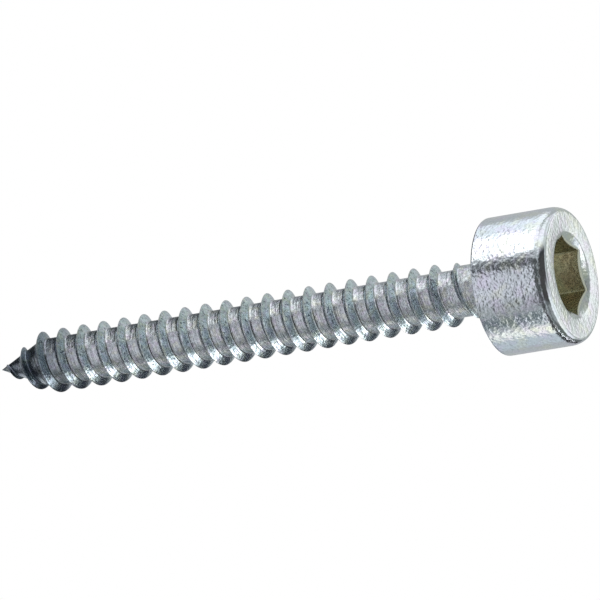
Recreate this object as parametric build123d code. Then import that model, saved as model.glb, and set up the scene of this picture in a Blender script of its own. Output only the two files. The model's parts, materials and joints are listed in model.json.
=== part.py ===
from build123d import *
import os
from math import ceil, cos, pi, radians, sin, tan

# Self-tapping screw with a cylindrical hexagon-socket head, in millimetres.
# One turned, forged and thread-rolled piece of steel wire, so it is one solid.
# The origin is the middle of the drive face and +Z runs along the shank to the
# point: the screw stands on its head.

# Head: a cylinder with a full round at the drive face and its bearing edge broken
head_diameter = 9.9
head_height = 5.7
drive_edge_radius = 0.5
bearing_edge_chamfer = 0.1

# Hexagon socket, broached to a conical floor, with a countersunk mouth
socket_across_flats = 5.0
socket_depth = 3.0
socket_floor_angle = 120.0
socket_mouth_angle = 120.0
socket_mouth_margin = 0.2

# Shank: a short plain neck under the head, then the core that carries the thread
shank_length = 40.0
neck_diameter = 3.9
neck_length = 2.2
neck_shoulder_angle = 45.0
under_head_cone = 0.4
core_diameter = 3.45
point_angle = 50.0

# Thread: a coarse, sharp-crested 60 degree ridge with open land between its turns
thread_diameter = 4.62
thread_pitch = 1.66
thread_angle = 60.0
thread_start_angle = -58.0

# At the point the thread starts close behind the tip and grows to its full
# depth. At the head it sinks back and ends inside the neck.
bare_tip_length = 0.75
thread_growth_length = 5.0
run_out_turns = 1.2
run_out_cover = 0.3

# The ridge's foot is sunk this far below the core's surface, so that the two fuse
foot_depth = 0.15
# Stations of the ridge's splines in each turn
stations_per_turn = 30

bearing_z = head_height
neck_end_z = bearing_z + neck_length
tip_z = bearing_z + shank_length
head_radius = head_diameter / 2
core_radius = core_diameter / 2
neck_radius = neck_diameter / 2
shoulder_length = abs(neck_radius - core_radius) / tan(radians(neck_shoulder_angle))
shoulder_end_z = neck_end_z + shoulder_length
point_slope = tan(radians(point_angle / 2))
point_start_z = tip_z - core_radius / point_slope
thread_depth = (thread_diameter - core_diameter) / 2
flank_slope = tan(radians(thread_angle / 2))
thread_start_z = tip_z - bare_tip_length
thread_end_z = neck_end_z - run_out_cover
thread_turns = (thread_start_z - thread_end_z) / thread_pitch


def turned_blank():
    """Head, neck, core and point, revolved about Z from their half outline."""
    outline = Polyline(
        (0, 0),
        (head_radius, 0),
        (head_radius, bearing_z - bearing_edge_chamfer),
        (head_radius - bearing_edge_chamfer, bearing_z),
        (neck_radius + under_head_cone, bearing_z),
        (neck_radius, bearing_z + under_head_cone),
        (neck_radius, neck_end_z),
        (core_radius, shoulder_end_z),
        (core_radius, point_start_z),
        (0, tip_z),
        close=True,
    )
    blank = revolve(Plane.XZ * make_face(outline), Axis.Z)
    drive_rim = blank.edges().filter_by(GeomType.CIRCLE).sort_by(Axis.Z)[0]
    return fillet(drive_rim, drive_edge_radius)


def hexagon_socket():
    """The room that the key enters: mouth countersink, hexagon and conical floor."""
    corner_radius = socket_across_flats / 2 / cos(radians(30))
    hexagon = extrude(RegularPolygon(corner_radius, 6), socket_depth)
    floor_radius = socket_across_flats / 2
    floor_height = floor_radius / tan(radians(socket_floor_angle / 2))
    floor = Pos(0, 0, socket_depth + floor_height / 2) * Cone(floor_radius, 0, floor_height)
    mouth_radius = corner_radius + socket_mouth_margin
    mouth_height = mouth_radius / tan(radians(socket_mouth_angle / 2))
    mouth = Pos(0, 0, mouth_height / 2) * Cone(mouth_radius, 0, mouth_height)
    return hexagon + floor + mouth


def core_radius_at(z):
    """Radius of the core at height z, where it is a cylinder or the point's cone."""
    return min(core_radius, (tip_z - z) * point_slope)


def foot_radius_at(z):
    """Radius of the ridge's foot at height z: foot_depth under the core, or halfway in at the tip."""
    core = core_radius_at(z)
    return core - min(foot_depth, core / 2)


def ridge_corners(turn):
    """The ridge's foot, crest and foot again, as (radius, z), this many turns from its start.

    Its height above the core grows from the tip as 1 - (1 - s / length)^2, where s
    is the distance from the tip, and falls in a straight line over the run-out.
    """
    z = thread_start_z - thread_pitch * turn
    still_to_grow = max(0.0, 1 - (tip_z - z) / thread_growth_length)
    left_to_go = min(1.0, (thread_turns - turn) / run_out_turns)
    height = thread_depth * (1 - still_to_grow**2) * left_to_go
    crest = core_radius_at(z) + height
    half_foot = (crest - foot_radius_at(z)) * flank_slope
    return [
        (foot_radius_at(z + half_foot), z + half_foot),
        (crest, z),
        (foot_radius_at(z - half_foot), z - half_foot),
    ]


def corner_point(turn, corner):
    """A corner's place: going down, the right-hand helix turns clockwise, seen from the tip."""
    angle = radians(thread_start_angle) - 2 * pi * turn
    radius, z = ridge_corners(turn)[corner]
    return Vector(radius * cos(angle), radius * sin(angle), z)


def ridge_skin(first_turn, last_turn):
    """Both flanks and the hidden foot of one stretch of the ridge, ruled between its corner lines."""
    steps = ceil((last_turn - first_turn) * stations_per_turn)
    turns = [first_turn + (last_turn - first_turn) * i / steps for i in range(steps + 1)]
    lines = []
    for corner in range(3):
        points = [corner_point(turn, corner) for turn in turns]
        lines.append(Edge.make_spline(points, parameters=turns))
    return [Face.make_surface_from_curves(lines[i], lines[(i + 1) % 3]) for i in range(3)]


def ridge_end(turn):
    """The flat cut across the ridge at one of its ends."""
    corners = [corner_point(turn, corner) for corner in range(3)]
    return Face(Wire.make_polygon(corners, close=True))


def thread_ridge():
    """The whole ridge, stretch by stretch of about one turn, closed at both ends."""
    stretches = ceil(thread_turns)
    cuts = [thread_turns * i / stretches for i in range(stretches + 1)]
    faces = [ridge_end(cuts[0]), ridge_end(cuts[-1])]
    for first_turn, last_turn in zip(cuts, cuts[1:]):
        faces += ridge_skin(first_turn, last_turn)
    return Solid(Shell(faces))


def screw():
    """The blank with its thread rolled on and its socket broached."""
    body = turned_blank() + thread_ridge()
    return body - hexagon_socket()


os.makedirs("parts", exist_ok=True)
export_step(screw(), "parts/screw.step")
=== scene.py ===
# %% [markdown]
# # A self-tapping screw in bright zinc
# The real object is one piece of steel wire: its head is forged, its thread is rolled, its
# socket is broached, and the whole screw is then plated with a few micrometres of zinc.
# So the scene has one piece. It is worked out as one closed surface, and most of the
# lesson is about that surface and about the finish of the plating.

# %% Load the frame
import json
from math import atan2, cos, radians, sin, tan

import bmesh
import bpy
import numpy as np
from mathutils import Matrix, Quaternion, Vector


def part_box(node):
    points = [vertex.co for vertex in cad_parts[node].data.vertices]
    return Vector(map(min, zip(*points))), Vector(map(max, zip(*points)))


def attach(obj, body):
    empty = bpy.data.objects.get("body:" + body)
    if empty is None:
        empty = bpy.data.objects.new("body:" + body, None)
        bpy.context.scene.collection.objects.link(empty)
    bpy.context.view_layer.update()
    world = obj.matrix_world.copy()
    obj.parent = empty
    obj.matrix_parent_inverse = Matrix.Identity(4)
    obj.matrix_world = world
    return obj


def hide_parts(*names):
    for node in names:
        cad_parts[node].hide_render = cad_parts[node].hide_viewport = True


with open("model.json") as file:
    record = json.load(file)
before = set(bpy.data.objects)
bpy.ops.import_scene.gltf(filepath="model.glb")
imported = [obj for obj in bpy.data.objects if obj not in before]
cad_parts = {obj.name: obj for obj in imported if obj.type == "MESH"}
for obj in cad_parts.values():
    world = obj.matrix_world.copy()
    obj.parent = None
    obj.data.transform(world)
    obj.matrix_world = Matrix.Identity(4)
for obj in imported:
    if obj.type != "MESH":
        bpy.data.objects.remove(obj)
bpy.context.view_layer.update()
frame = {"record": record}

MM = 0.001

# %% [markdown]
# ## The camera
# The screw stands on its head, as it would on a table, and it is looked at from below the
# table's edge, so that the socket shows. A camera is easiest to place by a direction, a
# distance and the point that it looks at. The roll about its own line of sight then lays
# the screw across the frame. A long lens keeps the two ends of the screw at one scale.

# %% Camera
camera_azimuth = radians(4.82)
camera_elevation = radians(-24.43)
camera_roll = radians(-99.56)
camera_aim = Vector((1.37, 0.80, 21.46)) * MM
camera_distance = 500.7 * MM

camera_back = Vector((
    sin(camera_azimuth) * cos(camera_elevation),
    -cos(camera_azimuth) * cos(camera_elevation),
    sin(camera_elevation),
))
camera_data = bpy.data.cameras.new("camera")
camera_data.sensor_width = 36.0
camera_data.lens = 418.4
camera = bpy.data.objects.new("camera", camera_data)
camera.location = camera_aim + camera_back * camera_distance
camera.rotation_mode = "QUATERNION"
level = (-camera_back).to_track_quat("-Z", "Y")
camera.rotation_quaternion = level @ Quaternion((0, 0, 1), camera_roll)
bpy.context.scene.collection.objects.link(camera)
bpy.context.scene.camera = camera
print("camera at", [round(value / MM, 1) for value in camera.location], "mm")

# %% [markdown]
# ## The screw's sizes
# The head's radius, its height and the tip come from the frame, so the looks can't drift
# away from the construction. The other sizes are those of the same screw, in millimetres.
# Small rounds that a forging has, such as those at the thread's crest and root, have
# values of their own here.

# %% Sizes
mounts = {mount["name"]: mount for mount in frame["record"]["mounts"]}
_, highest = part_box("screw")
head_radius = highest[0] / MM
tip_z = highest[2] / MM
bearing_z = mounts["bearing_face"]["pos_m"][2] / MM

drive_edge_radius = 0.5
drive_edge_height = 0.95
bearing_edge_radius = 0.1
under_head_radius = 0.4
neck_radius = 1.95
neck_end_z = bearing_z + 2.2
core_radius = 1.725
point_slope = tan(radians(25))

thread_radius = 2.31
thread_pitch = 1.66
flank_slope = tan(radians(30))
thread_depth = thread_radius - core_radius
thread_start_angle = -58.0
thread_start_z = tip_z - 0.75
thread_end_z = neck_end_z - 0.3
thread_turns = (thread_start_z - thread_end_z) / thread_pitch
growth_length = 5.0
start_turns = 0.35
run_out_turns = 1.2
run_out_power = 0.4
run_out_lean = 0.5
# The first three are in turns, and the last is in pitches across the ridge.
lean_start, lean_rise, lean_fall, lean_reach = 0.8, 0.6, 0.4, 0.4
shoulder_lean = 0.53
shoulder_top_angle = 20.0
neck_ring_z = bearing_z + 0.75

crest_softness = 0.03
root_softness = 0.08
neck_softness = 0.04
shoulder_softness = 0.05
point_softness = 0.06
print(f"head {2 * head_radius:.2f} mm across, tip at {tip_z:.2f} mm, {thread_turns:.1f} turns")

# %% [markdown]
# ## One set of angles for the whole screw
# Every ring of the surface has its points at the same angles, so that the thread, the head
# and the socket join point to point. They lie 3.75 degrees apart. A few more on each side
# of the hexagon's corners leave room for the small radius that the broach leaves there.

# %% Angles
even_angles = np.arange(0.0, 360.0, 3.75)
corner_offsets = (-1.5, -0.75, 0.75, 1.5)
corner_angles = [60.0 * corner + offset for corner in range(6) for offset in corner_offsets]
around = np.unique(np.concatenate([even_angles, np.mod(corner_angles, 360.0)]))
around = np.append(around, 360.0)
# The rings are walked clockwise, seen from the tip, which is the way that a right-hand
# thread runs as it goes down from the tip.
angles = -around
print(len(angles) - 1, "points in each ring")

# %% [markdown]
# ## The shank: a grid that follows the helix
# On a grid of straight rings a thread would look like a staircase. Here the rows of the
# grid run along the helix instead. A row is a fixed distance from the crest line, in
# pitches. After one turn it meets the row that is one pitch further down, so the grid
# closes on itself with no seam. Rows lie close at the crest and at the root, where the
# surface bends, and far apart on the plain land between the ridges.

# %% Soft corners
def soft_min(a, b, softness):
    """The lower of a and b, with the corner rounded: the mean of the two, less half the
    length of the vector (a - b, softness)."""
    return (a + b - np.sqrt((a - b) ** 2 + softness**2)) / 2


def soft_max(a, b, softness):
    """The higher of a and b, with the corner rounded in the same way."""
    return (a + b + np.sqrt((a - b) ** 2 + softness**2)) / 2


def smooth_step(x):
    """0 below 0, 1 above 1, and 3x^2 - 2x^3 between."""
    x = np.clip(x, 0.0, 1.0)
    return x * x * (3 - 2 * x)


# %% [markdown]
# The shank is the higher of two things: the blank, which is the turned wire before rolling,
# and the ridge that the dies squeeze out of it. The ridge fades at both ends. Close to the
# head it also leans over, like metal that the end of the die has pushed aside.

# %% The shank's radius
def blank_radius(z, turned):
    """The blank at height z, in the directions `turned`, before its thread is rolled: the
    neck, a 45 degree shoulder down to the core, and the point, whose radius is slope x
    distance from the tip. The shoulder leans: it lies lean x cos(angle) higher or lower."""
    lean = shoulder_lean * np.cos(np.radians(turned - shoulder_top_angle))
    shoulder = neck_radius + neck_end_z + lean - z
    shank = soft_max(core_radius, shoulder, shoulder_softness)
    shank = soft_min(neck_radius, shank, neck_softness)
    return soft_min(shank, (tip_z - z) * point_slope, point_softness)


def crest_radius(turn):
    """The crest line's radius after this many turns from the start of the thread.

    Its height above the core grows from the tip as 1 - (1 - s / length)^2, where s is the
    distance from the tip, and falls over the run-out as (turns to go / run-out)^power. Over
    the third of a turn before the thread's start it sinks into the point.
    """
    z = thread_start_z - thread_pitch * turn
    still_to_grow = np.maximum(0.0, 1 - (tip_z - z) / growth_length)
    left_to_go = np.clip((thread_turns - turn) / run_out_turns, 0.0, 1.0) ** run_out_power
    begun = smooth_step(1 + turn / start_turns)
    height = thread_depth * (1 - still_to_grow**2) * left_to_go * begun
    core = np.minimum(core_radius, (tip_z - z) * point_slope)
    return core + height - root_softness * (1 - begun * np.sqrt(left_to_go))


def run_out_shift(turn, offset):
    """How far the run-out leans towards the head, in millimetres.

    On the crest line it grows from 0.8 to 0.2 turns before the end, and is gone again 0.4
    turns after it: lean x step up x step down. Across the ridge it falls in a straight
    line, from all of it at 0.1 of a pitch from the crest to none halfway between ridges.
    """
    grown = smooth_step((turn - thread_turns + lean_start) / lean_rise)
    gone = smooth_step((turn - thread_turns) / lean_fall)
    across = np.clip((0.5 - np.abs(offset)) / lean_reach, 0.0, 1.0)
    return run_out_lean * grown * (1 - gone) * across


def shank_radius(turn, offset, turned):
    """The shank's radius at an axial offset, in pitches, from the crest line at this turn.

    The ridge is crest - (sqrt(d^2 + w^2) - w) / tan 30, with d the offset in millimetres
    and w the crest's softness: a round top, then two straight 30 degree flanks. The
    surface is the higher of this ridge and the blank.
    """
    z = thread_start_z - thread_pitch * (turn + offset) - run_out_shift(turn, offset)
    distance = thread_pitch * offset
    fall = (np.hypot(distance, crest_softness) - crest_softness) / flank_slope
    return soft_max(blank_radius(z, turned), crest_radius(turn) - fall, root_softness)


# %% [markdown]
# The rows are laid out over one pitch and repeated along the shank. A row that would run
# past the tip, or past the ring in the neck where the head's part of the surface begins,
# is held at that end: its points fall on each other and are merged later.

# %% The shank's grid
offsets_mm = np.array([0.015, 0.035, 0.07, 0.14, 0.22, 0.28, 0.33, 0.38, 0.45, 0.56, 0.69])
half_profile = offsets_mm / thread_pitch
profile = np.concatenate([-half_profile[::-1], [0.0], half_profile, [0.5]])
# Rows that start this far outside the ends, in pitches, may still run into the shank.
spare_above, spare_below = 1.6, 1.2
foot_blend, crest_blend = 0.08, 0.05


def shank_grid():
    """Points x, y, z of the shank, rows along the helix by columns round the axis.

    Distance down from the thread's start, in pitches, is the turn at that angle plus the
    row's own offset, held between the tip and the ring in the neck.
    """
    turn_at_angle = (thread_start_angle - angles) / 360.0
    first = (thread_start_z - tip_z) / thread_pitch
    last = (thread_start_z - neck_ring_z) / thread_pitch
    crests = np.arange(np.floor(first - 2), np.ceil(last + 2))
    rows = (crests[:, None] + profile[None, :]).ravel()
    rows = rows[(rows > first - spare_above) & (rows < last + spare_below)]
    down = np.clip(rows[:, None] + turn_at_angle[None, :], first, last)
    nearest = np.floor(np.round(down - turn_at_angle[None, :] + 0.5, 9))
    turn = nearest + turn_at_angle[None, :]
    radius = shank_radius(turn, down - turn, angles[None, :])
    radius = np.where(down <= first, 0.0, np.maximum(radius, 0.0))
    radius = np.where(down >= last, neck_radius, radius)
    z = thread_start_z - thread_pitch * down - run_out_shift(turn, down - turn) * (down < last)
    z = np.maximum(z, neck_ring_z)
    turned = np.radians(angles)[None, :]
    points = np.stack([radius * np.cos(turned), radius * np.sin(turned), z], axis=-1)
    phase = 2 * np.pi * (down - turn_at_angle[None, :])
    groove = np.stack([np.cos(phase), np.sin(phase), np.zeros_like(phase)], axis=-1)
    return points, flank_mask(turn, down - turn), groove


def flank_mask(turn, offset):
    """1 on the ridge's flanks, 0 on the land and on the crest line itself. It changes over
    foot_blend of height at the flank's foot and over crest_blend of width at the crest."""
    distance = thread_pitch * np.abs(offset)
    core = np.minimum(core_radius, (tip_z - thread_start_z + thread_pitch * turn) * point_slope)
    above_land = crest_radius(turn) - distance / flank_slope - core
    on_ridge = smooth_step(above_land / foot_blend + 0.5)
    return on_ridge * smooth_step(distance / crest_blend - 0.3)


shank, flanks, grooves = shank_grid()
print("shank grid:", shank.shape[0], "rows of", shank.shape[1], "points")

# %% [markdown]
# ## The head: a profile turned about the axis
# From the neck the surface goes on as a turned shape: a fillet under the head, the bearing
# face, a small round, the plain side, and the large round that the forging die leaves at
# the drive face. The profile is a list of radii and heights, with arcs at the rounds: the
# one at the drive face is drawn out into a quarter of an ellipse. One more ring lies close
# beside each of them, which keeps the flat faces flat when the shading is smooth.

# %% The head's profile
def arc(centre_r, centre_z, radius, start, end, steps):
    """Points of an arc: centre + radius x (cos, sin) of the angle, in degrees."""
    turned = np.radians(np.linspace(start, end, steps + 1))
    return np.column_stack([np.cos(turned), np.sin(turned)]) * radius + (centre_r, centre_z)


def run(start, end, shares):
    """Points on the straight line from start to end, at these shares of its length."""
    start, end = np.array(start), np.array(end)
    return start + np.asarray(shares)[:, None] * (end - start)


def curve(start, bend, end, steps):
    """Points of a curve with one bend: (1-t)^2 start + 2t(1-t) bend + t^2 end."""
    t = np.linspace(0.0, 1.0, steps + 1)[:, None]
    return (1 - t) ** 2 * np.array(start) + 2 * t * (1 - t) * np.array(bend) + t**2 * np.array(end)


socket_mouth_radius = 3.087
mouth_edge_width = 0.22
mouth_bend = 0.06
mouth_round = 0.035
ring_beside_round = 0.03
dish_radius = 4.45
dish = 0.03


def face_height(radius):
    """The drive face is a shallow dish that stands on its rim: dish x (dish_radius - r)^2."""
    return dish * (dish_radius - radius) ** 2


mouth_height = face_height(socket_mouth_radius) + mouth_round


def head_profile():
    """Radius and height of the head's outline, from the ring in the neck to the mouth."""
    fillet = arc(neck_radius + under_head_radius, bearing_z + under_head_radius,
                 under_head_radius, 180, 270, 6)
    edge = arc(head_radius - bearing_edge_radius, bearing_z - bearing_edge_radius,
               bearing_edge_radius, 90, 0, 4)
    face_start = head_radius - drive_edge_radius
    round_height = drive_edge_height - face_height(face_start)
    drive_edge = arc(0, 0, 1.0, 0, -90, 16) * (drive_edge_radius, round_height)
    drive_edge += (face_start, drive_edge_height)
    neck = run((neck_radius, neck_ring_z), fillet[0], [0.0, 0.4, 0.8, 0.96])
    bearing_face = run(fillet[-1], edge[0], [0.03, 0.3, 0.7, 0.97])
    side = run(edge[-1], drive_edge[0], [0.01, 0.2, 0.4, 0.6, 0.8, 0.97])
    face_end = socket_mouth_radius + mouth_edge_width
    face_r = np.linspace(face_start - ring_beside_round, face_end, 12)
    face = np.column_stack([face_r, face_height(face_r)])
    mouth = curve(face[-1], (socket_mouth_radius + mouth_bend, mouth_height - mouth_round),
                  (socket_mouth_radius, mouth_height), 5)
    return np.concatenate([neck, fillet, bearing_face, edge, side, drive_edge, face, mouth[1:]])


outline = head_profile()
print("head profile:", len(outline), "rings")

# %% [markdown]
# ## The socket: rings that turn from round to hexagonal
# A broached hexagon has flat walls and slightly rounded corners. The distance from the
# axis to a flat wall is apothem / cos of the angle from the wall's middle. Near a corner
# the small fillet takes over. Its countersunk mouth is a cone, so the line where the two
# meet rises and falls: that gives the bright scallops round a real socket.

# %% The socket's rings
apothem = 2.5
corner_fillet = 0.15
socket_depth = 3.0
shelf_radius = 0.996 * apothem
wall_edge = 0.03
highlight_angle = 1.6
mouth_slope = tan(radians(60))
floor_slope = tan(radians(60))


def wall_radius(turned):
    """Distance from the axis to the hexagon's wall, in the directions `turned`, in degrees.

    Flat wall: apothem / cos(30 - d), where d is the angle from the nearest corner. Corner:
    the far crossing with a circle of the fillet's radius about its centre, D cos d +
    sqrt(fillet^2 - (D sin d)^2).
    """
    from_corner = np.radians(np.abs(np.mod(turned + 30, 60) - 30))
    flat = apothem / np.cos(radians(30) - from_corner)
    centre = (apothem - corner_fillet) / cos(radians(30))
    limit = atan2(corner_fillet * sin(radians(30)), centre + corner_fillet * cos(radians(30)))
    across = np.maximum(corner_fillet**2 - (centre * np.sin(from_corner)) ** 2, 0.0)
    fillet = centre * np.cos(from_corner) + np.sqrt(across)
    return np.where(from_corner < limit, fillet, flat)


def socket_rings():
    """Radius and height of each ring of the socket, rings by columns round the axis.

    The mouth's cone is z = mouth height + (mouth radius - r) / tan 60, the wall goes
    straight in, and the floor is a flat shelf in the corners and a cone inside the
    inscribed circle, apothem / tan 60 deep.
    """
    wall = wall_radius(angles)
    shelf = np.full_like(wall, shelf_radius)
    rings = []
    for share in (0.0, 0.12, 0.5, 0.9):
        radius = socket_mouth_radius + (wall + wall_edge - socket_mouth_radius) * share
        rings.append((radius, (socket_mouth_radius - radius) / mouth_slope + mouth_height))
    wall_top = (socket_mouth_radius - wall) / mouth_slope + mouth_height
    for share in (0.02, 0.05, 0.35, 0.65, 0.97):
        rings.append((wall, wall_top + (socket_depth - wall_top) * share))
    rings.append((wall - wall_edge, np.full_like(wall, socket_depth)))
    for share in (1.0, 0.97, 0.66, 0.33, 0.06, 0.0):
        depth = socket_depth + (1 - share) * apothem / floor_slope
        rings.append((shelf * share, np.full_like(wall, depth)))
    return np.array(rings)


def painted_corner_highlight():
    """Where the socket's painted highlight goes: 1 along the hexagon's corners and round the top
    of its walls, 0 elsewhere: rings by columns, as the socket's rings."""
    from_corner = np.abs(np.mod(angles + 30, 60) - 30)
    corner = np.clip(1 - from_corner / highlight_angle, 0.0, 1.0)[None, :]
    on_wall = np.array([0, 0, 0, 0.7, 1, 1, 1, 1, 1, 0.6] + [0] * 6)[:, None]
    top = np.array([0, 0, 0.1, 1, 1, 0.3, 0, 0, 0, 0] + [0] * 6)[:, None]
    return np.maximum(corner * on_wall, top)


socket = socket_rings()
print("socket:", len(socket), "rings")

# %% [markdown]
# ## One closed surface
# The three parts are stacked into one grid of points. Neighbouring points make four-sided
# faces. Points that fall on each other, at the tip, in the middle of the floor and where
# the helix closes, are merged, and the faces that lost their area go with them. The
# volume of the result is printed, and it comes out positive when nothing is inside out.

# %% Join and merge
def turned_points(radius, z):
    """x = r cos, y = r sin, z: rings by columns round the axis."""
    turned = np.radians(angles)[None, :]
    return np.stack([radius * np.cos(turned), radius * np.sin(turned), z], axis=-1)


def grid_mesh(name, points):
    """A mesh from a grid of points: each face joins a point, the next in its row and the
    two below them."""
    rows, columns = points.shape[:2]
    corner = np.arange(rows * columns).reshape(rows, columns)[:-1, :-1].ravel()
    faces = np.column_stack([corner, corner + 1, corner + columns + 1, corner + columns])
    mesh = bpy.data.meshes.new(name)
    mesh.vertices.add(rows * columns)
    mesh.vertices.foreach_set("co", (points * MM).astype(np.float32).ravel())
    mesh.loops.add(faces.size)
    mesh.loops.foreach_set("vertex_index", faces.ravel())
    mesh.polygons.add(len(faces))
    mesh.polygons.foreach_set("loop_start", np.arange(0, faces.size, 4))
    mesh.update(calc_edges=True)
    return mesh


def keep_on_points(name, kind, field, first, values):
    """An attribute of the screw's points: these values from point number `first` on, and 0
    on all others."""
    size = values.shape[-1]
    kept = np.zeros(len(screw_mesh.vertices) * size, dtype=np.float32)
    kept[first * size: first * size + values.size] = values.ravel()
    screw_mesh.attributes.new(name, kind, "POINT").data.foreach_set(field, kept)


merge_distance = 2e-8
columns = len(angles)
head_points = turned_points(
    np.repeat(outline[:, :1], columns, axis=1), np.repeat(outline[:, 1:], columns, axis=1)
)
socket_points = turned_points(socket[:, 0], socket[:, 1])
screw_mesh = grid_mesh("zinc_plated_screw", np.concatenate([shank, head_points, socket_points]))
first_in_socket = flanks.size + head_points[..., 0].size
keep_on_points("flank", "FLOAT", "value", 0, flanks[..., None])
keep_on_points("groove", "FLOAT_VECTOR", "vector", 0, grooves)
# The mask of the socket's painted highlight, kept on its points.
keep_on_points("painted_highlight", "FLOAT", "value", first_in_socket, painted_corner_highlight()[..., None])

merge = bmesh.new()
merge.from_mesh(screw_mesh)
bmesh.ops.remove_doubles(merge, verts=merge.verts, dist=merge_distance)
open_edges = sum(1 for edge in merge.edges if len(edge.link_faces) != 2)
volume = merge.calc_volume(signed=True) / MM**3
merge.to_mesh(screw_mesh)
merge.free()
screw_mesh.shade_smooth()
triangles = sum(len(face.vertices) - 2 for face in screw_mesh.polygons)
print(f"{triangles} triangles, {open_edges} open edges, {volume:.1f} cubic mm")

# %% [markdown]
# The piece rides on the screw's one body and stands for its one solid, whose own mesh is
# hidden.

# %% The piece
screw = bpy.data.objects.new("zinc_plated_screw", screw_mesh)
bpy.context.scene.collection.objects.link(screw)
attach(screw, "root")
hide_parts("screw")
print("piece", screw.name, "has", len(screw_mesh.vertices), "points")

# %% [markdown]
# ## Node helpers
# A material in Blender is a small graph. Four helpers keep the lesson short: one adds a
# node and sets its values, one joins two nodes, one starts a reusable group with named
# sockets, and one places such a group in a material.

# %% Node helpers
def add_node(tree, kind, settings=None, **values):
    """A node of this kind, with its settings and the values of its input sockets."""
    node = tree.nodes.new(kind)
    for name, value in (settings or {}).items():
        setattr(node, name, value)
    for name, value in values.items():
        node.inputs[name.replace("_", " ")].default_value = value
    return node


def link(source, output, target, entry):
    """Join an output of one node to an input of another in the same graph."""
    source.id_data.links.new(source.outputs[output], target.inputs[entry])


def start_group(name, inputs, outputs):
    """An empty node group. Its sockets are given as name: type."""
    group = bpy.data.node_groups.new(name, "ShaderNodeTree")
    for socket, kind in inputs.items():
        group.interface.new_socket(socket, in_out="INPUT", socket_type=kind)
    for socket, kind in outputs.items():
        group.interface.new_socket(socket, in_out="OUTPUT", socket_type=kind)
    return group, group.nodes.new("NodeGroupInput"), group.nodes.new("NodeGroupOutput")


def place_group(tree, group, **values):
    """Put a node group in a material, with its own values."""
    node = tree.nodes.new("ShaderNodeGroup")
    node.node_tree = group
    for name, value in values.items():
        node.inputs[name.replace("_", " ")].default_value = value
    return node


# %% [markdown]
# ## Effect 1: the grain of the plating
# Electroplated zinc is a skin of tiny crystals over a forged or rolled surface, so it is
# never a perfect mirror. Cells 0.2 to 0.4 mm wide, like orange peel, and a finer noise on
# top of them are added to one height. Through a Bump node it breaks the edge of every
# reflection into small rings. A second output gives specks for colour and roughness.

# %% Grain group
number, colour_socket, vector_socket = "NodeSocketFloat", "NodeSocketColor", "NodeSocketVector"
grain, ends_in, ends_out = start_group(
    "plating_grain",
    {"Position": vector_socket, "Cells per Metre": number, "Specks per Metre": number},
    {"Height": number, "Specks": number},
)
cells = add_node(grain, "ShaderNodeTexVoronoi", {"feature": "SMOOTH_F1"}, Smoothness=0.6)
fine = add_node(grain, "ShaderNodeTexNoise", Detail=2.0, Roughness=0.6)
specks = add_node(grain, "ShaderNodeTexNoise", Detail=3.0, Roughness=0.7)
fine_share = add_node(grain, "ShaderNodeMath", {"operation": "MULTIPLY_ADD"})
fine_height = 0.8
fine_share.inputs[1].default_value = fine_height
sharper = add_node(grain, "ShaderNodeMapRange", From_Min=0.32, From_Max=0.68)
for texture in (cells, fine, specks):
    link(ends_in, "Position", texture, "Vector")
link(ends_in, "Cells per Metre", cells, "Scale")
link(ends_in, "Specks per Metre", fine, "Scale")
link(ends_in, "Specks per Metre", specks, "Scale")
link(fine, "Fac", fine_share, 0)
link(cells, "Distance", fine_share, 2)
link(specks, "Fac", sharper, "Value")
link(fine_share, "Value", ends_out, "Height")
link(sharper, "Result", ends_out, "Specks")
print("group", grain.name, "has", len(grain.nodes), "nodes")

# %% [markdown]
# ## Effect 2: the tint of the passivation
# After plating, zinc is dipped in a passivation bath. The film that this leaves is thinner
# than light waves are long, so it tints the metal in soft patches: bluish, violet or straw.
# Two channels of one slow noise choose between the three tints, and the specks darken the
# colour a little.

# %% Tint group
tint, ends_in, ends_out = start_group(
    "passivation_tint",
    {"Position": vector_socket, "Specks": number, "Plain": colour_socket, "Violet": colour_socket,
     "Straw": colour_socket, "Patches per Metre": number, "Speck Depth": number},
    {"Colour": colour_socket},
)
slow = add_node(tint, "ShaderNodeTexNoise", Detail=2.0)
violet_share = add_node(tint, "ShaderNodeMapRange", From_Min=0.46, From_Max=0.64)
straw_share = add_node(tint, "ShaderNodeMapRange", From_Min=0.50, From_Max=0.34)
with_violet = add_node(tint, "ShaderNodeMix", {"data_type": "RGBA"})
with_straw = add_node(tint, "ShaderNodeMix", {"data_type": "RGBA"})
split = add_node(tint, "ShaderNodeSeparateColor")
darker = add_node(tint, "ShaderNodeMath", {"operation": "MULTIPLY"})
speckled = add_node(tint, "ShaderNodeMix", {"data_type": "RGBA", "blend_type": "MULTIPLY"})
speckled.inputs["B"].default_value = (0.0, 0.0, 0.0, 1.0)
link(ends_in, "Position", slow, "Vector")
link(ends_in, "Patches per Metre", slow, "Scale")
link(slow, "Color", split, "Color")
link(split, "Red", violet_share, "Value")
link(split, "Green", straw_share, "Value")
link(violet_share, "Result", with_violet, "Factor")
link(ends_in, "Plain", with_violet, "A")
link(ends_in, "Violet", with_violet, "B")
link(straw_share, "Result", with_straw, "Factor")
link(with_violet, "Result", with_straw, "A")
link(ends_in, "Straw", with_straw, "B")
link(ends_in, "Specks", darker, 0)
link(ends_in, "Speck Depth", darker, 1)
link(darker, "Value", speckled, "Factor")
link(with_straw, "Result", speckled, "A")
link(speckled, "Result", ends_out, "Colour")
print("group", tint.name, "has", len(tint.nodes), "nodes")
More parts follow.
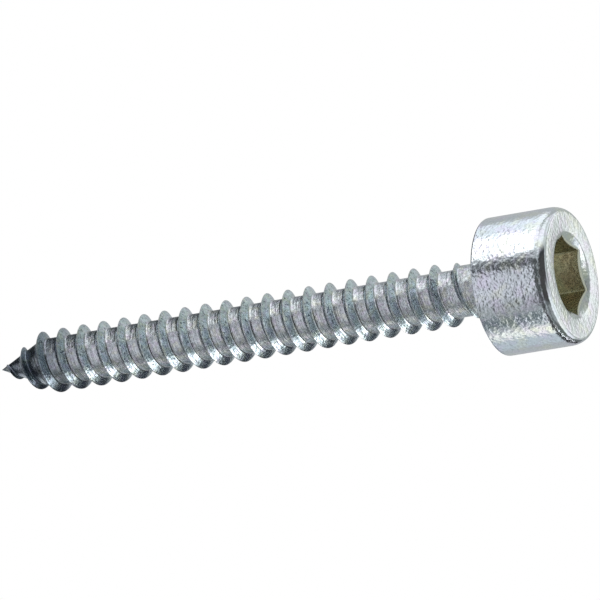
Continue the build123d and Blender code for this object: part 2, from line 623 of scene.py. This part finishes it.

# %% [markdown]
# ## Three finishes of one plating
# The head is satin, with its grain in plain sight. The thread was burnished by the rolling
# dies, so its lands are smooth and its flanks are duller and bluer, and its sharp point is
# painted darker as shade. The socket is a deep hole, where little zinc gets in: it stays
# olive and dull, with the broach's marks along it and a painted highlight along its corners
# and the tops of its walls. All three are the same two groups with other values.

# %% A finish
def finish(name, plain, violet, straw, patches, specks, cells, depth, roughness, speck_depth):
    """A zinc material: grain to the bump, tint to the colour, specks to the roughness.

    The depth is the grain's height in millimetres, and roughness is the pair of values at
    no speck and at a full speck. The nodes that later cells build on are kept by name.
    """
    material = bpy.data.materials.new(name)
    material.use_nodes = True
    tree = material.node_tree
    shader = tree.nodes["Principled BSDF"]
    shader.inputs["Metallic"].default_value = 1.0
    place = add_node(tree, "ShaderNodeTexCoord")
    surface = place_group(tree, grain, Cells_per_Metre=cells, Specks_per_Metre=specks)
    colour = place_group(tree, tint, Plain=plain, Violet=violet, Straw=straw,
                         Patches_per_Metre=patches, Speck_Depth=speck_depth)
    relief = add_node(tree, "ShaderNodeMath", {"operation": "ADD"})
    relief.inputs[1].default_value = 0.0
    bump = add_node(tree, "ShaderNodeBump", Distance=depth * MM)
    dullness = add_node(tree, "ShaderNodeMapRange", To_Min=roughness[0], To_Max=roughness[1])
    link(place, "Object", surface, "Position")
    link(place, "Object", colour, "Position")
    link(surface, "Specks", colour, "Specks")
    link(surface, "Specks", dullness, "Value")
    link(surface, "Height", relief, 0)
    link(relief, "Value", bump, "Height")
    link(bump, "Normal", shader, "Normal")
    link(dullness, "Result", shader, "Roughness")
    link(colour, "Colour", shader, "Base Color")
    return {"material": material, "tree": tree, "shader": shader, "place": place,
            "colour": colour, "relief": relief, "dullness": dullness}


head_zinc = finish(
    "zinc_head", plain=(0.82, 0.88, 0.92, 1), violet=(0.86, 0.84, 0.96, 1),
    straw=(0.87, 0.91, 0.85, 1), patches=900.0, specks=6500.0, cells=3500.0,
    depth=0.0155, roughness=(0.09, 0.17), speck_depth=0.22,
)
thread_zinc = finish(
    "zinc_thread", plain=(0.82, 0.88, 0.91, 1), violet=(0.88, 0.84, 0.95, 1),
    straw=(0.88, 0.90, 0.83, 1), patches=2400.0, specks=5200.0, cells=4200.0,
    depth=0.014, roughness=(0.13, 0.24), speck_depth=0.46,
)
socket_zinc = finish(
    "zinc_socket", plain=(0.78, 0.76, 0.62, 1), violet=(0.78, 0.66, 0.54, 1),
    straw=(0.68, 0.74, 0.60, 1), patches=700.0, specks=4500.0, cells=2600.0,
    depth=0.016, roughness=(0.18, 0.32), speck_depth=0.34,
)
finishes = (head_zinc, thread_zinc, socket_zinc)
print("finishes:", [nodes["material"].name for nodes in finishes])

# %% [markdown]
# The thread has more to show than the head. Its flanks are duller than the lands, with
# small dark pits where they took less zinc. Its point is painted darker, as shade for the
# dark reflections there. It stays duller close to the head, and the dies leave fine lines
# that run along the helix.
# The flank mask and the place across the groove are attributes, worked out with the
# surface. The place is kept as a cosine and a sine, which meet themselves after one pitch.

# %% The thread's flanks, point and rolling lines
def mix_in(finish_nodes, colour, factor_socket):
    """Multiply the finish's base colour by `colour`, as far as the factor socket says."""
    tree, shader = finish_nodes["tree"], finish_nodes["shader"]
    source = shader.inputs["Base Color"].links[0].from_socket
    node = add_node(tree, "ShaderNodeMix", {"data_type": "RGBA", "blend_type": "MULTIPLY"})
    node.inputs["B"].default_value = colour
    tree.links.new(factor_socket, node.inputs["Factor"])
    tree.links.new(source, node.inputs["A"])
    link(node, "Result", shader, "Base Color")


def add_dullness(finish_nodes, amount, factor_socket):
    """Raise the finish's roughness by amount x factor."""
    tree, shader = finish_nodes["tree"], finish_nodes["shader"]
    source = shader.inputs["Roughness"].links[0].from_socket
    node = add_node(tree, "ShaderNodeMath", {"operation": "MULTIPLY_ADD"})
    node.inputs[1].default_value = amount
    tree.links.new(factor_socket, node.inputs[0])
    tree.links.new(source, node.inputs[2])
    link(node, "Value", shader, "Roughness")


def add_relief(finish_nodes, amount, height_socket):
    """Add amount x height to what the finish's bump is made from."""
    tree, relief = finish_nodes["tree"], finish_nodes["relief"]
    node = add_node(tree, "ShaderNodeMath", {"operation": "MULTIPLY"})
    node.inputs[1].default_value = amount
    tree.links.new(height_socket, node.inputs[0])
    link(node, "Value", relief, 1)


tree = thread_zinc["tree"]
flank = add_node(tree, "ShaderNodeAttribute", {"attribute_name": "flank"})
mix_in(thread_zinc, (0.98, 1.06, 1.08, 1.0), flank.outputs["Fac"])
add_dullness(thread_zinc, 0.07, flank.outputs["Fac"])

height = add_node(tree, "ShaderNodeSeparateXYZ")
# Painted shade at the point: from 36.5 mm up to 43.4 mm the colour darkens smoothly.
point_shade = add_node(tree, "ShaderNodeMapRange", {"interpolation_type": "SMOOTHSTEP"},
                 From_Min=36.5 * MM, From_Max=43.4 * MM)
near_head = add_node(tree, "ShaderNodeMapRange", {"interpolation_type": "SMOOTHSTEP"},
                     From_Min=9.5 * MM, From_Max=8.0 * MM)
link(thread_zinc["place"], "Object", height, "Vector")
link(height, "Z", point_shade, "Value")
link(height, "Z", near_head, "Value")
# The painted shade multiplies the point's colour down to about a third.
mix_in(thread_zinc, (0.34, 0.37, 0.41, 1.0), point_shade.outputs["Result"])
add_dullness(thread_zinc, 0.04, near_head.outputs["Result"])

pits = add_node(tree, "ShaderNodeTexNoise", Scale=6200.0, Detail=1.0)
pitted = add_node(tree, "ShaderNodeMapRange", From_Min=0.60, From_Max=0.69)
on_flank = add_node(tree, "ShaderNodeMath", {"operation": "MULTIPLY"})
link(thread_zinc["place"], "Object", pits, "Vector")
link(pits, "Fac", pitted, "Value")
link(pitted, "Result", on_flank, 0)
link(flank, "Fac", on_flank, 1)
mix_in(thread_zinc, (0.26, 0.28, 0.32, 1.0), on_flank.outputs["Value"])

groove = add_node(tree, "ShaderNodeAttribute", {"attribute_name": "groove"})
slow = add_node(tree, "ShaderNodeVectorMath", {"operation": "SCALE"}, Scale=260.0)
across = add_node(tree, "ShaderNodeVectorMath", {"operation": "SCALE"}, Scale=4.5)
both = add_node(tree, "ShaderNodeVectorMath", {"operation": "ADD"})
rolled = add_node(tree, "ShaderNodeTexNoise", Scale=1.0, Detail=2.0, Roughness=0.6)
link(thread_zinc["place"], "Object", slow, "Vector")
link(groove, "Vector", across, "Vector")
link(slow, "Vector", both, 0)
link(across, "Vector", both, 1)
link(both, "Vector", rolled, "Vector")
add_relief(thread_zinc, 1.4, rolled.outputs["Fac"])
print("thread finish:", len(tree.nodes), "nodes")

# %% [markdown]
# In the socket the broach leaves scratches that run along Z: a noise that is stretched
# eleven times that way. Along the corners and the top edges of the walls, a mask paints a
# highlight: a pale metal colour in place of the light that these edges catch.

# %% The socket's scratches and corners
tree = socket_zinc["tree"]
stretch = add_node(tree, "ShaderNodeMapping", Scale=(1.0, 1.0, 0.09))
scratches = add_node(tree, "ShaderNodeTexNoise", Scale=7000.0, Detail=2.0)
link(socket_zinc["place"], "Object", stretch, "Vector")
link(stretch, "Vector", scratches, "Vector")
add_relief(socket_zinc, 0.5, scratches.outputs["Fac"])
# Painted highlight: a pale metal colour along the corners and the top edges of the walls.
highlight_mask = add_node(tree, "ShaderNodeAttribute", {"attribute_name": "painted_highlight"})
highlighted = add_node(tree, "ShaderNodeMix", {"data_type": "RGBA"})
highlighted.inputs["B"].default_value = (0.95, 0.94, 0.86, 1.0)
link(highlight_mask, "Fac", highlighted, "Factor")
link(socket_zinc["colour"], "Colour", highlighted, "A")
link(highlighted, "Result", socket_zinc["shader"], "Base Color")
print("socket finish:", len(tree.nodes), "nodes")

# %% [markdown]
# One surface can carry three finishes, face by face. Where a face lies says which it gets:
# the thread's above the ring in the neck, the socket's inside the mouth, else the head's.

# %% Finishes on the faces
for nodes in finishes:
    screw_mesh.materials.append(nodes["material"])
centres = np.empty(len(screw_mesh.polygons) * 3, dtype=np.float32)
screw_mesh.polygons.foreach_get("center", centres)
centres = centres.reshape(-1, 3) / MM
from_axis = np.hypot(centres[:, 0], centres[:, 1])
on_thread = centres[:, 2] > neck_ring_z
past_socket, margin = bearing_z - 0.5, 0.02
inside = (from_axis < socket_mouth_radius) & (centres[:, 2] < past_socket)
mouth_cone = (socket_mouth_radius - from_axis) / mouth_slope + mouth_height
on_mouth = centres[:, 2] < mouth_cone + margin
which_finish = on_thread + 2 * (inside & ~on_mouth)
screw_mesh.polygons.foreach_set("material_index", which_finish.astype(np.int32))
print("faces of head, thread and socket:", np.bincount(which_finish).tolist())

# %% [markdown]
# ## The studio
# Polished metal has hardly any colour of its own. It shows what stands round it, so it is
# photographed inside a tent of white, grey and black card. Here the tent is one sphere that
# only reflections see. Its tone is worked out from azimuth, which is 0 towards the camera
# and grows upwards in the picture, and from elevation above the floor.

# %% Soft-edged cards
def between(value, low, high, soft_low, soft_high):
    """1 between low and high, 0 outside, and half at each of them: the change takes up
    soft_low round low and soft_high round high."""
    risen = smooth_step((value - low) / soft_low + 0.5)
    return risen * smooth_step((high - value) / soft_high + 0.5)


def paint(tone, mask, colour):
    """Lay a card of this colour over the tone: tone + mask x (colour - tone)."""
    return tone + mask[..., None] * (np.array(colour) - tone)


def cards(tone, first, second, table):
    """Lay each card of the table over the tone: its colour, its range and softness along
    the first coordinate, and the same along the second."""
    for colour, first_range, first_soft, second_range, second_soft in table:
        mask = between(first, *first_range, *first_soft)
        mask = mask * between(second, *second_range, *second_soft)
        tone = paint(tone, mask, colour)
    return tone


def plain_tone(shape, colour):
    """One colour all over an array of this shape."""
    return np.zeros(shape + (3,)) + colour


# %% [markdown]
# Each line is one card: its colour, its azimuths and how soft their edges are, then the same
# for its elevations. Later cards lie over earlier ones. The higher a point is on the shank,
# the higher up the tent its reflection lands, so the cards above 27 degrees are the thread's
# and those below are the head's.

# %% The tent's cards
horizon, horizon_softness = -2, 4
above_colour, under_colour = (0.50, 0.52, 0.53), (0.40, 0.43, 0.39)
above_table = (
    # the violet-grey wall towards the camera
    ((0.68, 0.69, 0.74), (-40, 45), (24, 8), (27, 90), (4, 5)),
    ((0.94, 0.94, 1.01), (-22, 26), (20, 5), (18, 26.5), (3, 2)),
    # low on the screw: pale cards with a dark teal one, and a narrow warm lamp over them
    ((0.60, 0.66, 0.70), (-128, -98), (10, 8), (12, 26.5), (4, 3)),
    ((1.30, 1.34, 1.37), (-100, -52), (8, 10), (14.5, 18.5), (2.5, 3)),
    ((0.09, 0.125, 0.135), (-71, -47), (7, 17), (20.5, 28.5), (3, 4)),
    ((1.22, 1.22, 1.12), (-96, -80), (6, 7), (15.5, 26), (3, 3)),
    # above these, for the thread
    ((0.28, 0.31, 0.33), (-128, -60), (12, 14), (27.6, 36), (3, 5)),
    ((0.15, 0.16, 0.16), (-124, -50), (12, 12), (35, 50), (5, 8)),
    ((0.11, 0.16, 0.18), (-185, -126), (4, 16), (27, 60), (3, 6)),
    # the black flag beside the large white lamp, and the cards above them
    ((0.02, 0.025, 0.03), (26, 42), (3, 4), (19, 27), (4, 4)),
    ((1.05, 1.12, 1.18), (90, 124), (5, 8), (12, 26), (3, 4)),
    ((2.00, 2.00, 2.00), (50, 91), (3, 5), (14, 26), (3, 4)),
    ((0.95, 0.98, 1.00), (54, 96), (8, 14), (26.5, 29.2), (2, 3)),
    ((0.20, 0.22, 0.24), (54, 96), (10, 14), (30.6, 60), (4, 6)),
    ((0.12, 0.13, 0.15), (96, 165), (14, 12), (29.3, 60), (5, 6)),
    ((0.05, 0.06, 0.06), (50, 160), (14, 12), (34, 60), (5, 8)),
    # along the horizon, for the round of the drive edge
    ((1.15, 1.18, 1.20), (55, 130), (12, 16), (-2, 19), (5, 4)),
    ((0.06, 0.06, 0.06), (-76, 36), (12, 10), (-2, 11.5), (4, 4)),
    ((0.085, 0.09, 0.09), (-40, 36), (16, 10), (-2, 20.5), (5, 7)),
    ((0.035, 0.035, 0.035), (-155, -72), (8, 12), (-2, 11.5), (4, 4)),
    # high up, for the point, and pale straight above
    ((0.03, 0.035, 0.04), (-112, 145), (12, 12), (54, 76), (8, 5)),
    ((0.60, 0.63, 0.65), (-124, -90), (8, 12), (46, 64), (6, 5)),
    ((1.60, 1.62, 1.65), (-152, -120), (8, 8), (44, 60), (8, 8)),
    ((0.85, 0.87, 0.88), (-181, 181), (6, 6), (80, 95), (6, 4)),
)
under_table = (
    # the pale wall behind, for the drive face
    ((1.14, 1.15, 1.11), (150, 190), (8, 6), (-40, -21), (8, 12)),
    ((1.14, 1.15, 1.11), (-190, -158), (6, 6), (-40, -21), (8, 12)),
    ((1.05, 1.07, 1.04), (152, 174), (8, 6), (-60, -38), (8, 4)),
    # for the socket's mouth: a white card on one side, dark ones on the other
    ((1.38, 1.39, 1.32), (-147, -106), (10, 10), (-86, -48), (8, 8)),
    ((0.85, 0.90, 0.92), (-148, -128), (6, 8), (-50, -38), (4, 5)),
    ((0.30, 0.34, 0.30), (108, 160), (12, 12), (-88, -60), (8, 8)),
    ((0.15, 0.18, 0.14), (55, 106), (12, 10), (-82, -54), (8, 8)),
)
print(len(above_table), "cards above the horizon,", len(under_table), "under it")


def tent_tone(azimuth, elevation):
    """Colour of the tent in this direction, in degrees: the cards under the horizon are
    painted over those above it."""
    above = cards(plain_tone(azimuth.shape, above_colour), azimuth, elevation, above_table)
    under = cards(plain_tone(azimuth.shape, under_colour), azimuth, elevation, under_table)
    return paint(above, smooth_step((horizon - elevation) / horizon_softness + 0.5), under)


# %% [markdown]
# The tent is a grid of directions on a sphere. Its points keep the cards' tones as an
# attribute, and an Emission shader shines with it. Every light path but a reflection misses
# the sphere, so it hides nothing and casts no shadow.

# %% The tent
def tent_grid(radius, azimuths, elevations):
    """Points of a sphere, from azimuth and elevation in degrees, seen from the origin."""
    turned, raised = np.radians(azimuths)[None, :], np.radians(elevations)[:, None]
    towards_camera = np.array([sin(camera_azimuth), -cos(camera_azimuth)])
    upwards = np.array([cos(camera_azimuth), sin(camera_azimuth)])
    flat = np.cos(turned)[..., None] * towards_camera + np.sin(turned)[..., None] * upwards
    x_y = radius * np.cos(raised)[..., None] * flat
    z = np.broadcast_to(radius * np.sin(raised), x_y.shape[:2])
    return np.concatenate([x_y, z[..., None]], axis=-1)


def paint_mesh(mesh, tone):
    """Keep each point's colour in the attribute named tone."""
    colours = np.concatenate([tone, np.ones(tone.shape[:-1] + (1,))], axis=-1)
    layer = mesh.attributes.new("tone", "FLOAT_COLOR", "POINT")
    layer.data.foreach_set("color", colours.astype(np.float32).ravel())


def glossy_only(obj):
    """Only reflections see this object: it hides nothing and casts no shadow."""
    obj.visible_camera = False
    obj.visible_diffuse = False
    obj.visible_transmission = False
    obj.visible_volume_scatter = False
    obj.visible_shadow = False


def tone_emitter(name):
    """A material that shines with the colour kept in the attribute named tone."""
    material = bpy.data.materials.new(name)
    material.use_nodes = True
    tree = material.node_tree
    tree.nodes.remove(tree.nodes["Principled BSDF"])
    tone = add_node(tree, "ShaderNodeAttribute", {"attribute_name": "tone"})
    glow = add_node(tree, "ShaderNodeEmission")
    link(tone, "Color", glow, "Color")
    link(glow, "Emission", tree.nodes["Material Output"], "Surface")
    return material, glow


tent_radius = 200.0
azimuths = np.arange(-180.0, 181.0, 1.5)
elevations = np.linspace(-90.0, 90.0, 151)
tent_mesh = grid_mesh("tent", tent_grid(tent_radius, azimuths, elevations))
paint_mesh(tent_mesh, tent_tone(*np.meshgrid(azimuths, elevations)))
tent_mesh.materials.append(tone_emitter("tent_card")[0])
tent = bpy.data.objects.new("tent", tent_mesh)
bpy.context.scene.collection.objects.link(tent)
glossy_only(tent)
print("tent:", len(tent_mesh.polygons), "faces")

# %% [markdown]
# The floor has cards too, by azimuth and by distance from the axis in millimetres. Beside the
# head a card goes by the azimuth of the place that it lies next to, and further out by the
# direction of the reflection.

# %% The floor's cards
floor_colour = (0.36, 0.39, 0.37)
on_table = (
    # black in front with grey close by, then the white card with dark ones round it
    ((0.04, 0.045, 0.05), (-45, 45), (20, 24), (0, 9999), (1, 1)),
    ((0.62, 0.66, 0.68), (-62, 62), (20, 20), (8, 28), (1, 12)),
    ((3.20, 3.25, 3.28), (-116, -76), (12, 14), (0, 34), (1, 8)),
    ((0.11, 0.12, 0.12), (-150, -40), (10, 14), (44, 9999), (10, 1)),
    ((0.03, 0.035, 0.05), (-165, -130), (6, 8), (0, 9999), (1, 1)),
    ((0.10, 0.115, 0.13), (-165, -130), (6, 8), (0, 40), (1, 20)),
    # grey behind
    ((0.54, 0.56, 0.56), (-190, -165), (6, 6), (0, 9999), (1, 1)),
    ((0.62, 0.66, 0.64), (138, 190), (10, 6), (0, 9999), (1, 1)),
    ((0.50, 0.54, 0.52), (138, 190), (10, 6), (0, 50), (1, 30)),
    ((0.60, 0.64, 0.62), (104, 138), (12, 10), (0, 26), (1, 12)),
    # close to the head: its own shade, and the light that slips in under its round
    ((0.17, 0.19, 0.18), (-130, -98), (14, 10), (0, 8.5), (1, 2)),
    ((0.15, 0.17, 0.16), (-102, -44), (10, 10), (0, 12), (1, 3)),
    ((0.14, 0.15, 0.15), (-50, -20), (10, 8), (0, 10), (1, 3)),
    ((0.34, 0.36, 0.36), (-46, -24), (8, 6), (0, 6.0), (1, 1.2)),
    ((0.070, 0.068, 0.065), (-21, 23), (6, 8), (0, 12), (1, 4)),
    ((1.10, 1.13, 1.13), (32, 72), (14, 12), (0, 12), (1, 4)),
    ((0.48, 0.51, 0.49), (75, 112), (10, 10), (0, 8), (1, 2)),
    # the thin bright line where the round meets the floor
    ((1.08, 1.12, 1.12), (-76, -9), (10, 26), (0, 4.97), (1, 0.14)),
    ((0.72, 0.75, 0.74), (33, 76), (10, 10), (0, 4.95), (1, 0.12)),
    ((0.58, 0.61, 0.60), (-190, 190), (8, 8), (0, 4.71), (1, 0.05)),
    ((0.90, 0.94, 0.94), (-72, -15), (8, 16), (0, 4.71), (1, 0.05)),
    ((0.96, 0.99, 0.98), (40, 82), (12, 8), (0, 4.71), (1, 0.05)),
)
print(len(on_table), "cards on the floor")


def floor_tone(azimuth, radius):
    """Colour that reflections see on the floor, by azimuth in degrees and radius in mm."""
    return cards(plain_tone(azimuth.shape, floor_colour), azimuth, radius, on_table)


# %% [markdown]
# The floor is a flat ring. Its grid is fine at the head, where the cards are millimetres
# wide, and coarse far out. Its inner edge slips in under the round of the drive edge, which
# keeps it clear of the drive face that the screw stands on.

# %% The floor
floor_height = 0.03
radii = np.concatenate([np.linspace(4.6, 5.4, 33), np.geomspace(5.5, 2000.0, 60)])
turned, spread = np.meshgrid(np.radians(azimuths), radii[::-1])
flat_x = spread * (np.cos(turned) * sin(camera_azimuth) + np.sin(turned) * cos(camera_azimuth))
flat_y = spread * (-np.cos(turned) * cos(camera_azimuth) + np.sin(turned) * sin(camera_azimuth))
floor_points = np.stack([flat_x, flat_y, np.full_like(flat_x, floor_height)], axis=-1)
floor_mesh = grid_mesh("floor", floor_points)
paint_mesh(floor_mesh, floor_tone(np.degrees(turned), spread))
floor = bpy.data.objects.new("floor", floor_mesh)
bpy.context.scene.collection.objects.link(floor)
print("floor:", len(floor_mesh.polygons), "faces")

# %% [markdown]
# From above the floor is matt and pale, and takes the screw's shadow. Reflections see its
# cards instead. From below it is clear, so that a camera can look up through it, and it is
# clear to light on its way from a lamp.

# %% The floor's paint
floor_paint, glow = tone_emitter("floor_paint")
tree = floor_paint.node_tree
matt = add_node(tree, "ShaderNodeBsdfDiffuse", Color=(0.9, 0.9, 0.9, 1.0))
path = add_node(tree, "ShaderNodeLightPath")
seen = add_node(tree, "ShaderNodeMixShader")
side = add_node(tree, "ShaderNodeNewGeometry")
clear = add_node(tree, "ShaderNodeBsdfTransparent")
hidden = add_node(tree, "ShaderNodeMath", {"operation": "MAXIMUM"})
through = add_node(tree, "ShaderNodeMixShader")
link(path, "Is Glossy Ray", seen, "Fac")
link(matt, "BSDF", seen, 1)
link(glow, "Emission", seen, 2)
link(side, "Backfacing", hidden, 0)
link(path, "Is Shadow Ray", hidden, 1)
link(hidden, "Value", through, "Fac")
link(seen, "Shader", through, 1)
link(clear, "BSDF", through, 2)
link(through, "Shader", tree.nodes["Material Output"], "Surface")
floor_mesh.materials.append(floor_paint)
print("floor paint:", len(tree.nodes), "nodes")

# %% [markdown]
# The world is plain white where it is seen, in reflections and through clear things too. As
# light it is dimmer, which leaves room for the lamp before the pale floor clips.

# %% World
world_light = 0.62
world = bpy.data.worlds.new("world")
bpy.context.scene.world = world
world.use_nodes = True
tree = world.node_tree
sky = tree.nodes["Background"]
sky.inputs["Color"].default_value = (1, 1, 1, 1)
path = add_node(tree, "ShaderNodeLightPath")
camera_or_glossy = add_node(tree, "ShaderNodeMath", {"operation": "MAXIMUM"})
any_of_three = add_node(tree, "ShaderNodeMath", {"operation": "MAXIMUM"})
strength = add_node(tree, "ShaderNodeMapRange", To_Min=world_light, To_Max=1.0)
link(path, "Is Camera Ray", camera_or_glossy, 0)
link(path, "Is Glossy Ray", camera_or_glossy, 1)
link(camera_or_glossy, "Value", any_of_three, 0)
link(path, "Is Transmission Ray", any_of_three, 1)
link(any_of_three, "Value", strength, "Value")
link(strength, "Result", sky, "Strength")

bpy.context.scene.view_settings.view_transform = "Standard"
print("world light:", world_light)

# %% [markdown]
# One large square lamp, high on one side, lays a soft shadow on the floor. Reflections don't
# see it, because a white card of the tent stands in for it.

# %% The lamp
def soft_lamp(name, azimuth, elevation, distance, size, level):
    """A square lamp that points at the origin. Its power is level x pi^2 x distance^2 / sin
    of the elevation, so that the floor there gets `level` of a white world's light."""
    data = bpy.data.lights.new(name, "AREA")
    data.size = size * MM
    data.energy = level * np.pi**2 * (distance * MM) ** 2 / sin(radians(elevation))
    lamp = bpy.data.objects.new(name, data)
    place = tent_grid(distance, np.array([azimuth]), np.array([elevation]))[0, 0]
    lamp.location = Vector(place) * MM
    lamp.rotation_euler = Vector(place).to_track_quat("Z", "Y").to_euler()
    lamp.visible_glossy = False
    bpy.context.scene.collection.objects.link(lamp)
    return lamp


key_lamp = soft_lamp("key_lamp", azimuth=70.0, elevation=55.0, distance=400.0, size=220.0,
                     level=0.4)
print("key lamp:", round(key_lamp.data.energy, 2), "W")
